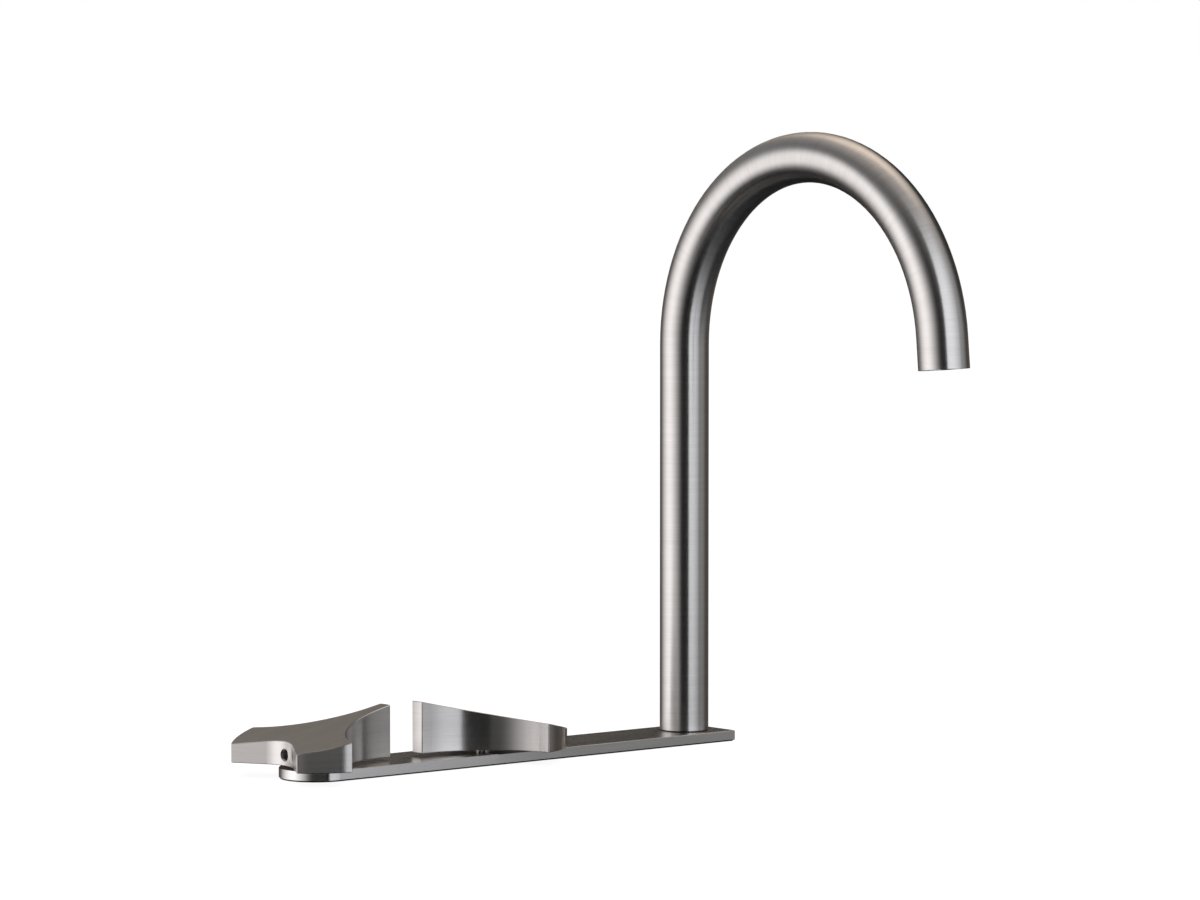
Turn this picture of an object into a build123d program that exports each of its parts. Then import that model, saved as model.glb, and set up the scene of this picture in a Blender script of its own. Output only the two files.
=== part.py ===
from build123d import *
import os
from math import asin, atan2, cos, degrees, hypot, radians, sin, tan

# A three-hole mixer tap: a long deck plate, an arched spout that swivels near the plate's square
# end, and two turning handles, the cold one beside the spout and the hot one at the round end.
# Sizes are in millimetres. X runs along the plate towards its square end, Y points away from the
# user and Z is up. The origin lies on the deck under the spout's axis, and the spout reaches
# towards -Y. Threads are plain cylinders of their own size.

# Deck, plate and gasket
deck_thickness = 20.0
plate_width = 37.0
plate_thickness = 5.0
plate_chamfer = 0.3
square_end = 18.5  # from the spout's axis to the plate's square end
spout_to_cold = 131.0
cold_to_hot = 102.0
seal_thickness = 0.5
seal_inset = 0.75

# Clearances
thread_clearance = 0.05
running_clearance = 0.05
solder_gap = 0.02
loose_clearance = 0.3

# Shanks that pass through the deck, and what clamps them
spigot_radius = 12.0
shank_radius = 14.0
shank_relief = 0.5  # how much slimmer the bodies are below the thread, so that the nuts pass
shank_spare = 12.0  # free thread below the nut
washer_radius = 22.5
rubber_washer_thickness = 3.0
clamp_washer_thickness = 2.0
nut_across_flats = 36.0
nut_thickness = 8.0
nut_face_inset = 0.5  # how far the nut's round face lies inside its flats
nut_corner_angle = 30.0  # degrees, at which the corners are turned off

# Spout tube and its foot
tube_radius = 12.5
tube_wall = 1.5
tube_rise = 198.0  # straight run from the plate to the bend
bend_radius = 95.0
bend_angle = 174.8
tube_end = 15.5  # straight run at the mouth
bearing_thickness = 0.6
bearing_inset = 0.5
foot_wall = 1.48
foot_spare = 1.5  # how much longer the foot is than the pivot in it
swivel_limit = 60.0

# Spout shank
waterway_radius = 5.5
pivot_length = 42.5
pivot_ring_section = 1.56
pivot_ring_squeeze = 0.02
pivot_ring_drops = (12.5, 22.5)  # below the pivot's top
ring_groove_play = 0.3  # how much wider a groove is than the O-ring in it
guide_ring_drop = 6.0  # below the pivot's top
guide_ring_width = 3.0
guide_ring_depth = 1.0
tail_radius = 9.0
tail_length = 12.0

# Grub screws
grub_radius = 2.5
grub_socket_flats = 2.5
grub_socket_depth = 2.0
dog_radius = 1.75
dog_length = 1.9
dog_height = 8.5  # above the plate
dog_clearance = 0.2
slot_margin = 1.0  # degrees past the dog at either end of the swivel

# Mixing tee
tee_seal_thickness = 1.5
tee_length = 31.0
tee_port_drop = 20.0
tee_port_spread = 50.0  # degrees either side of +Y

# Water ports
port_radius = 4.46
port_depth = 6.0
port_flat_depth = 1.3
port_flat_height = 13.0
cross_hole_radius = 3.0

# Valve body
body_length = 30.0
port_drop = 10.0
inlet_radius = 7.475
inlet_depth = 11.0
feed_radius = 4.0
riser_radius = 2.1
riser_wall = 0.1
gallery_radius = 10.6

# Headwork
headwork_length = 33.5
flange_radius = 10.0
flange_thickness = 2.5
spanner_hole_radius = 1.0
spanner_hole_depth = 1.5
barrel_radius = 9.0
barrel_gap = 2.0
neck_length = 13.5  # the part that guides the spindle, from the plate's top down
chamber_radius = 7.5
collar_radius = 5.9
collar_thickness = 1.6
collar_clearance = 0.2
thrust_thickness = 0.8
stop_reach = 1.3
stop_width = 24.0  # degrees
stop_margin = 1.0  # degrees
window_height = 3.6
window_width = 80.0  # degrees
window_margin = 0.8
disc_thickness = 4.0
disc_clearance = 0.2
disc_hole_inner = 1.6
disc_hole_outer = 4.8
disc_hole_width = 80.0  # degrees
driver_width = 3.0
driver_depth = 1.2
seal_lip_height = 1.5
seal_lip_clearance = 0.25
housing_ring_section = 1.36

# Spindle
spindle_radius = 4.0
spindle_grip = 10.25
spindle_flat = 3.2
flat_start = 1.25  # above the handle's underside
spindle_ring_section = 1.0
spindle_groove_play = 0.2
spindle_ring_drops = (4.5, 9.0)  # below the plate's top

# Handle
handle_radius = 41.5
handle_gap = 1.75
hub_height = 16.2  # on the axis
handle_slope = 12.6  # degrees, rising towards the tall lobe
tall_half_width = 4.0
tall_taper = 3.5  # degrees, wider towards the hub
low_half_width = 13.3
low_lobe_angle = 121.0
low_outer_taper = 10.0  # degrees, narrower towards the hub
low_inner_taper = 0.5  # degrees, wider towards the hub
side_fillet = 48.5
scallop_fillet = 21.0
corner_fillet = 0.5
edge_chamfer = 0.3
handle_turn = 90.0
grub_height = 5.25  # above the handle's underside
grub_length = 12.0
grub_countersink = 3.1

# Mouth and aerator, measured inwards from the mouth
mouth_recess = 1.0
mouth_ring_length = 11.0
mouth_ring_bore = 9.25
mouth_shoulder = 1.5
mouth_shoulder_width = 1.1
aerator_wall = 1.4
aerator_lip = 1.0
aerator_lip_width = 0.8
aerator_seal_thickness = 1.2
core_height = 5.0
core_rim = 0.6
cell_flats = 1.5
cell_wall = 0.35
screen_thickness = 0.8
screen_hole_radius = 0.6
screen_hole_spacing = 2.2

# Heights that several pieces share
plate_bottom = seal_thickness
plate_top = plate_bottom + plate_thickness
fixing_height = rubber_washer_thickness + clamp_washer_thickness + nut_thickness
shank_end = -(deck_thickness + fixing_height + shank_spare)
body_bottom = shank_end - body_length
body_radius = shank_radius - shank_relief
hot_x = -spout_to_cold - cold_to_hot
cold_x = -spout_to_cold
stations = {"spout": 0.0, "cold": cold_x, "hot": hot_x}


def sector(inner, outer, sweep):
    """A piece of a ring about the origin, spread evenly to both sides of the X axis."""
    with BuildSketch() as piece:
        with BuildLine():
            out = CenterArc((0, 0), outer, -sweep / 2, sweep)
            back = CenterArc((0, 0), inner, -sweep / 2, sweep)
            Line(back @ 0, out @ 0)
            Line(out @ 1, back @ 1)
        make_face()
    return piece.sketch


def on_circle(radius, angle):
    """The point at the angle on a circle about the axis."""
    return (radius * cos(radians(angle)), radius * sin(radians(angle)))


def crossing(point, angle, other, other_angle):
    """Where the line through point at angle meets the line through other at other_angle."""
    turn = sin(radians(other_angle - angle))
    dx = other[0] - point[0]
    dy = other[1] - point[1]
    far = radians(other_angle)
    run = (dx * sin(far) - dy * cos(far)) / turn
    return (point[0] + run * cos(radians(angle)), point[1] + run * sin(radians(angle)))


def fillet_between(wanted, corner, ends):
    """The wanted radius, or the largest that leaves a twentieth of the shorter side straight."""
    sides = [(end[0] - corner[0], end[1] - corner[1]) for end in ends]
    angles = [degrees(atan2(side[1], side[0])) for side in sides]
    opening = abs(angles[0] - angles[1]) % 360
    opening = min(opening, 360 - opening)
    room = 0.95 * min(hypot(*side) for side in sides)
    return min(wanted, room * tan(radians(opening / 2)))


os.makedirs("parts", exist_ok=True)

# Deck plate: a flat bar with one half-round end, tapped for the three spigots
with BuildPart() as deck_plate:
    with BuildSketch(Plane.XY.offset(plate_bottom)):
        with Locations(((hot_x + square_end) / 2, 0)):
            Rectangle(square_end - hot_x, plate_width)
        with Locations((hot_x, 0)):
            Circle(plate_width / 2)
        with Locations(*[(x, 0) for x in stations.values()]):
            Circle(spigot_radius + thread_clearance, mode=Mode.SUBTRACT)
    extrude(amount=plate_thickness)
    rims = deck_plate.faces().sort_by(Axis.Z)
    chamfer(rims[-1].outer_wire().edges() + rims[0].outer_wire().edges(), plate_chamfer)
deck_plate.part.label = "deck_plate"
export_step(deck_plate.part, "parts/deck_plate.step")

# Gasket: a thin sheet that keeps water from running under the plate
with BuildPart() as deck_seal:
    with BuildSketch(Plane.XY):
        with Locations(((hot_x + square_end - seal_inset) / 2, 0)):
            Rectangle(square_end - seal_inset - hot_x, plate_width - 2 * seal_inset)
        with Locations((hot_x, 0)):
            Circle(plate_width / 2 - seal_inset)
        with Locations(*[(x, 0) for x in stations.values()]):
            Circle(shank_radius + loose_clearance, mode=Mode.SUBTRACT)
    extrude(amount=seal_thickness)
deck_seal.part.label = "deck_seal"
export_step(deck_seal.part, "parts/deck_seal.step")

# What clamps each shank from under the deck: a rubber washer, a steel washer and a backnut, whose
# corners are turned off towards both faces
nut_face_radius = nut_across_flats / 2 - nut_face_inset
nut_corner_radius = nut_across_flats / 2 / cos(radians(180 / 6))
nut_corner_drop = (nut_corner_radius - nut_face_radius) * tan(radians(nut_corner_angle))
for name, x in stations.items():
    rubber_bottom = -deck_thickness - rubber_washer_thickness
    with BuildPart() as rubber_washer:
        with BuildSketch(Plane((x, 0, rubber_bottom))):
            Circle(washer_radius)
            Circle(shank_radius + loose_clearance, mode=Mode.SUBTRACT)
        extrude(amount=rubber_washer_thickness)
    rubber_washer.part.label = f"{name}_rubber_washer"
    export_step(rubber_washer.part, f"parts/{name}_rubber_washer.step")

    clamp_bottom = rubber_bottom - clamp_washer_thickness
    with BuildPart() as clamp_washer:
        with BuildSketch(Plane((x, 0, clamp_bottom))):
            Circle(washer_radius)
            Circle(shank_radius + loose_clearance, mode=Mode.SUBTRACT)
        extrude(amount=clamp_washer_thickness)
    clamp_washer.part.label = f"{name}_clamp_washer"
    export_step(clamp_washer.part, f"parts/{name}_clamp_washer.step")

    nut_bottom = clamp_bottom - nut_thickness
    with BuildPart() as backnut:
        with BuildSketch(Plane((x, 0, nut_bottom))):
            RegularPolygon(nut_across_flats / 2, 6, major_radius=False)
            Circle(shank_radius + thread_clearance, mode=Mode.SUBTRACT)
        extrude(amount=nut_thickness)
        with BuildSketch(Plane((x, 0, nut_bottom), x_dir=(1, 0, 0), z_dir=(0, -1, 0))):
            with BuildLine():
                Polyline(
                    (0, 0),
                    (nut_face_radius, 0),
                    (nut_corner_radius, nut_corner_drop),
                    (nut_corner_radius, nut_thickness - nut_corner_drop),
                    (nut_face_radius, nut_thickness),
                    (0, nut_thickness),
                    close=True,
                )
            make_face()
        revolve(axis=Axis((x, 0, 0), (0, 0, 1)), mode=Mode.INTERSECT)
    backnut.part.label = f"{name}_backnut"
    export_step(backnut.part, f"parts/{name}_backnut.step")

# Spout tube: one length of tube with a single bend, which stops short of a half turn
tube_bore = tube_radius - tube_wall
tube_bottom = plate_top + bearing_thickness
dog_level = plate_top + dog_height
with BuildLine(Plane.YZ) as spout_path:
    leg = Line((0, tube_bottom), (0, plate_top + tube_rise))
    bend = JernArc(leg @ 1, leg % 1, bend_radius, bend_angle)
    Line(bend @ 1, bend @ 1 + (bend % 1) * tube_end)
with BuildPart() as spout_tube:
    with BuildSketch(Plane.XY.offset(tube_bottom)):
        Circle(tube_radius)
        Circle(tube_bore, mode=Mode.SUBTRACT)
    sweep(path=spout_path.line)
    with Locations(Plane((0, 2 * tube_radius, dog_level), z_dir=(0, 1, 0))):
        Hole(grub_radius + thread_clearance, 2 * tube_radius)
spout_tube.part.label = "spout_tube"
export_step(spout_tube.part, "parts/spout_tube.step")

# Foot: a brass sleeve soldered into the tube, which turns on the shank's pivot
pivot_radius = tube_bore - solder_gap - foot_wall - running_clearance
with BuildPart() as spout_foot:
    with BuildSketch(Plane.XY.offset(tube_bottom)):
        Circle(tube_bore - solder_gap)
        Circle(pivot_radius + running_clearance, mode=Mode.SUBTRACT)
    extrude(amount=pivot_length + foot_spare)
    with Locations(Plane((0, 2 * tube_radius, dog_level), z_dir=(0, 1, 0))):
        Hole(grub_radius + thread_clearance, 2 * tube_radius)
spout_foot.part.label = "spout_foot"
export_step(spout_foot.part, "parts/spout_foot.step")

# Dog-point grub screw at the back of the foot: it runs in the pivot's slot
slot_floor = pivot_radius - dog_length - dog_clearance
thread_start = pivot_radius + running_clearance
with BuildPart() as spout_grub_screw:
    with BuildSketch(Plane((0, thread_start - dog_length, dog_level), z_dir=(0, 1, 0))):
        Circle(dog_radius)
    extrude(amount=dog_length)
    with BuildSketch(Plane((0, thread_start, dog_level), z_dir=(0, 1, 0))):
        Circle(grub_radius)
    extrude(amount=tube_radius - loose_clearance - thread_start)
    with BuildSketch(Plane((0, tube_radius - loose_clearance, dog_level), z_dir=(0, 1, 0))):
        RegularPolygon(grub_socket_flats / 2, 6, major_radius=False)
    extrude(amount=-grub_socket_depth, mode=Mode.SUBTRACT)
spout_grub_screw.part.label = "spout_grub_screw"
export_step(spout_grub_screw.part, "parts/spout_grub_screw.step")

# Spout shank: turned brass, screwed into the plate from below, with the pivot above the plate
dog_half_angle = degrees(asin(dog_radius / slot_floor))
slot_sweep = 2 * (swivel_limit + dog_half_angle + slot_margin)
dog_slot = sector(slot_floor, tube_bore, slot_sweep)
slot_height = 2 * (dog_radius + dog_clearance)
pivot_ring_radius = pivot_radius + running_clearance - pivot_ring_squeeze - pivot_ring_section / 2
pivot_top = plate_top + pivot_length
pivot_ring_levels = [pivot_top - drop for drop in pivot_ring_drops]
guide_level = pivot_top - guide_ring_drop
pivot_groove_depth = pivot_radius - pivot_ring_radius + pivot_ring_section / 2 + solder_gap
with BuildPart() as spout_shank:
    with BuildSketch(Plane.XZ):
        with BuildLine():
            Polyline(
                (waterway_radius, shank_end - tail_length),
                (tail_radius, shank_end - tail_length),
                (tail_radius, shank_end),
                (shank_radius, shank_end),
                (shank_radius, plate_bottom),
                (spigot_radius, plate_bottom),
                (spigot_radius, plate_top),
                (pivot_radius, plate_top),
                (pivot_radius, pivot_top),
                (waterway_radius, pivot_top),
                close=True,
            )
        make_face()
        with Locations(*[(pivot_radius, level) for level in pivot_ring_levels]):
            Rectangle(2 * pivot_groove_depth, pivot_ring_section + ring_groove_play,
                      mode=Mode.SUBTRACT)
        with Locations((pivot_radius, guide_level)):
            Rectangle(2 * guide_ring_depth, guide_ring_width + 2 * solder_gap, mode=Mode.SUBTRACT)
    revolve(axis=Axis.Z)
    with BuildSketch(Plane((0, 0, dog_level - slot_height / 2), x_dir=(0, 1, 0))):
        add(dog_slot)
    extrude(amount=slot_height, mode=Mode.SUBTRACT)
spout_shank.part.label = "spout_shank"
export_step(spout_shank.part, "parts/spout_shank.step")

# Two O-rings in the pivot's grooves
with BuildPart() as spout_o_rings:
    with BuildSketch(Plane.XZ):
        with Locations(*[(pivot_ring_radius, level) for level in pivot_ring_levels]):
            Circle(pivot_ring_section / 2)
    revolve(axis=Axis.Z)
spout_o_rings.part.label = "spout_o_rings"
export_step(spout_o_rings.part, "parts/spout_o_rings.step")

# Plastic guide ring near the pivot's top, which carries the spout's side load
with BuildPart() as spout_guide_ring:
    with BuildSketch(Plane.XY.offset(guide_level - guide_ring_width / 2)):
        Circle(pivot_radius + solder_gap)
        Circle(pivot_radius - guide_ring_depth + solder_gap, mode=Mode.SUBTRACT)
    extrude(amount=guide_ring_width)
spout_guide_ring.part.label = "spout_guide_ring"
export_step(spout_guide_ring.part, "parts/spout_guide_ring.step")

# Plastic bearing ring between the plate and the tube
with BuildPart() as spout_bearing_ring:
    with BuildSketch(Plane.XY.offset(plate_top)):
        Circle(tube_radius - bearing_inset)
        Circle(pivot_radius + running_clearance, mode=Mode.SUBTRACT)
    extrude(amount=bearing_thickness)
spout_bearing_ring.part.label = "spout_bearing_ring"
export_step(spout_bearing_ring.part, "parts/spout_bearing_ring.step")

# Mixing tee: screwed on the shank's tail, with a port for each hose from the valves
tee_top = shank_end - tee_seal_thickness
tee_bottom = tee_top - tee_length
tee_socket_end = shank_end - tail_length - solder_gap
tee_port_level = tee_top - tee_port_drop
port_face = body_radius - port_flat_depth
with BuildPart() as mixing_tee:
    with BuildSketch(Plane.XZ):
        with BuildLine():
            Polyline(
                (0, tee_bottom),
                (body_radius, tee_bottom),
                (body_radius, tee_top),
                (tail_radius + thread_clearance, tee_top),
                (tail_radius + thread_clearance, tee_socket_end),
                (waterway_radius, tee_socket_end),
                (waterway_radius, tee_port_level - cross_hole_radius),
                (0, tee_port_level - cross_hole_radius),
                close=True,
            )
        make_face()
    revolve(axis=Axis.Z)
    for angle in (90 - tee_port_spread, 90 + tee_port_spread):
        outward = (cos(radians(angle)), sin(radians(angle)), 0)
        face_centre = (port_face * outward[0], port_face * outward[1], tee_port_level)
        with BuildSketch(Plane(face_centre, x_dir=(0, 0, 1), z_dir=outward)):
            Rectangle(port_flat_height, 2 * body_radius)
        extrude(amount=2 * port_flat_depth, mode=Mode.SUBTRACT)
        with Locations(Plane(face_centre, x_dir=(0, 0, 1), z_dir=outward)):
            Hole(port_radius, port_depth)
            Hole(cross_hole_radius, port_face)
mixing_tee.part.label = "mixing_tee"
export_step(mixing_tee.part, "parts/mixing_tee.step")

# Fibre washer between the shank and the tee
with BuildPart() as tee_seal:
    with BuildSketch(Plane.XY.offset(tee_top)):
        Circle(body_radius - loose_clearance)
        Circle(tail_radius + loose_clearance, mode=Mode.SUBTRACT)
    extrude(amount=tee_seal_thickness)
tee_seal.part.label = "tee_seal"
export_step(tee_seal.part, "parts/tee_seal.step")

# The mouth's own plane faces into the tube, so heights in it are depths behind the mouth
mouth_centre = spout_path.line @ 1
inward = -(spout_path.line % 1)
mouth_axis = Axis(mouth_centre, inward)
mouth_plane = Plane(mouth_centre, x_dir=(1, 0, 0), z_dir=inward)
mouth_section = Plane(mouth_centre, x_dir=(1, 0, 0), z_dir=Vector(1, 0, 0).cross(inward))

# Mouth ring: soldered into the tube, with the thread and the shoulder for the aerator
ring_end = mouth_recess + mouth_ring_length
shoulder = ring_end - mouth_shoulder
with BuildPart() as mouth_ring:
    with BuildSketch(mouth_section):
        with BuildLine():
            Polyline(
                (mouth_ring_bore, mouth_recess),
                (tube_bore - solder_gap, mouth_recess),
                (tube_bore - solder_gap, ring_end),
                (mouth_ring_bore - mouth_shoulder_width, ring_end),
                (mouth_ring_bore - mouth_shoulder_width, shoulder),
                (mouth_ring_bore, shoulder),
                close=True,
            )
        make_face()
    revolve(axis=mouth_axis)
mouth_ring.part.label = "mouth_ring"
export_step(mouth_ring.part, "parts/mouth_ring.step")

# Aerator housing: a threaded shell with a lip that carries the core
housing_radius = mouth_ring_bore - thread_clearance
housing_bore = housing_radius - aerator_wall
housing_end = shoulder - aerator_seal_thickness
with BuildPart() as aerator_housing:
    with BuildSketch(mouth_section):
        with BuildLine():
            Polyline(
                (housing_bore - aerator_lip_width, mouth_recess),
                (housing_radius, mouth_recess),
                (housing_radius, housing_end),
                (housing_bore, housing_end),
                (housing_bore, mouth_recess + aerator_lip),
                (housing_bore - aerator_lip_width, mouth_recess + aerator_lip),
                close=True,
            )
        make_face()
    revolve(axis=mouth_axis)
aerator_housing.part.label = "aerator_housing"
export_step(aerator_housing.part, "parts/aerator_housing.step")

# Aerator core: a honeycomb of straight cells inside a plain rim
core_radius = housing_bore - thread_clearance
core_start = mouth_recess + aerator_lip
cell_pitch = cell_flats + cell_wall
cells_across = 2 * int(core_radius / cell_pitch) + 1
with BuildPart() as aerator_core:
    with BuildSketch(mouth_plane.offset(core_start)):
        Circle(core_radius)
        with HexLocations(cell_pitch / 2, cells_across, cells_across):
            RegularPolygon(cell_flats / 2, 6, major_radius=False, rotation=30, mode=Mode.SUBTRACT)
        Circle(core_radius, mode=Mode.INTERSECT)
        with BuildSketch(mode=Mode.PRIVATE) as rim:
            Circle(core_radius)
            Circle(core_radius - core_rim, mode=Mode.SUBTRACT)
        add(rim.sketch)
    extrude(amount=core_height)
aerator_core.part.label = "aerator_core"
export_step(aerator_core.part, "parts/aerator_core.step")

# Aerator screen: a perforated disc on the core, which catches grit. Each ring of holes has six
# more than the ring inside it.
screen_rings = int((core_radius - screen_hole_radius) / screen_hole_spacing)
with BuildPart() as aerator_screen:
    with BuildSketch(mouth_plane.offset(core_start + core_height)):
        Circle(core_radius)
        Circle(screen_hole_radius, mode=Mode.SUBTRACT)
        for ring in range(1, screen_rings + 1):
            with PolarLocations(ring * screen_hole_spacing, 6 * ring):
                Circle(screen_hole_radius, mode=Mode.SUBTRACT)
    extrude(amount=screen_thickness)
aerator_screen.part.label = "aerator_screen"
export_step(aerator_screen.part, "parts/aerator_screen.step")

# Rubber washer between the aerator and the shoulder
with BuildPart() as aerator_seal:
    with BuildSketch(mouth_plane.offset(housing_end)):
        Circle(housing_radius)
        Circle(housing_bore, mode=Mode.SUBTRACT)
    extrude(amount=aerator_seal_thickness)
aerator_seal.part.label = "aerator_seal"
export_step(aerator_seal.part, "parts/aerator_seal.step")

# Heights inside a valve, from the plate's top down
flange_bottom = plate_top - flange_thickness
neck_end = plate_top - neck_length
collar_top = neck_end - thrust_thickness
collar_bottom = collar_top - collar_thickness
chamber_top = collar_bottom - collar_clearance
seat_level = plate_top - headwork_length
barrel_bottom = seat_level + barrel_gap
window_top = chamber_top - window_margin
window_bottom = window_top - window_height
gallery_top = window_top + window_margin
moving_disc_top = window_bottom - window_margin
fixed_disc_top = moving_disc_top - disc_thickness
disc_seal_top = fixed_disc_top - disc_thickness
port_level = shank_end - port_drop
riser_offset = gallery_radius - riser_radius - riser_wall
seal_lip_radius = riser_offset - riser_radius - seal_lip_clearance
seal_lip_top = seat_level + seal_lip_height

# Radii that fit each other inside a valve
neck_bore = spindle_radius + running_clearance
barrel_bore = barrel_radius + thread_clearance
stop_radius = collar_radius + stop_reach
disc_radius = chamber_radius - disc_clearance
housing_ring_radius = barrel_bore - pivot_ring_squeeze - housing_ring_section / 2
housing_groove_depth = barrel_radius - housing_ring_radius + housing_ring_section / 2 + solder_gap
housing_ring_level = (flange_bottom + gallery_top) / 2
spindle_ring_radius = neck_bore - pivot_ring_squeeze - spindle_ring_section / 2
spindle_groove_depth = spindle_radius - spindle_ring_radius + spindle_ring_section / 2 + solder_gap
spindle_ring_levels = [plate_top - drop for drop in spindle_ring_drops]

# Heights of the handle and the spindle
handle_bottom = plate_top + handle_gap
spindle_top = handle_bottom + spindle_grip
flat_level = handle_bottom + flat_start
grub_level = handle_bottom + grub_height

# Corners of the handle's plan on its own axes, with the tall lobe along its X
tip_half_angle = degrees(asin(tall_half_width / handle_radius))
low_half_angle = degrees(asin(low_half_width / handle_radius))
tall_side_angle = 180 - tall_taper
outer_side_angle = low_lobe_angle + 180 - low_outer_taper
inner_side_angle = low_lobe_angle + 180 - low_inner_taper
tip_corner = on_circle(handle_radius, tip_half_angle)
low_outer = on_circle(handle_radius, low_lobe_angle - low_half_angle)
low_inner = on_circle(handle_radius, low_lobe_angle + low_half_angle)
side_corner = crossing(tip_corner, tall_side_angle, low_outer, outer_side_angle)
scallop_corner = crossing(low_inner, inner_side_angle, (0, 0), 0)
side_radius = fillet_between(side_fillet, side_corner, (tip_corner, low_outer))
other_inner = (low_inner[0], -low_inner[1])
scallop_radius = fillet_between(scallop_fillet, scallop_corner, (low_inner, other_inner))
scallop_sink = scallop_radius * (1 / sin(radians(360 - inner_side_angle)) - 1)
hub_back = scallop_sink - scallop_corner[0]  # from the axis to the scallop behind the tall lobe

# Openings that both valves share: the housing's windows, the room for the spindle's stop, the
# stop itself and the discs' holes
window = sector(disc_hole_outer, shank_radius, window_width)
stop_room = sector(spindle_radius, stop_radius + collar_clearance,
                   handle_turn + stop_width + 2 * stop_margin)
stop_lug = sector(spindle_radius, stop_radius, stop_width)
disc_hole = sector(disc_hole_inner, disc_hole_outer, disc_hole_width)

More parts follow.
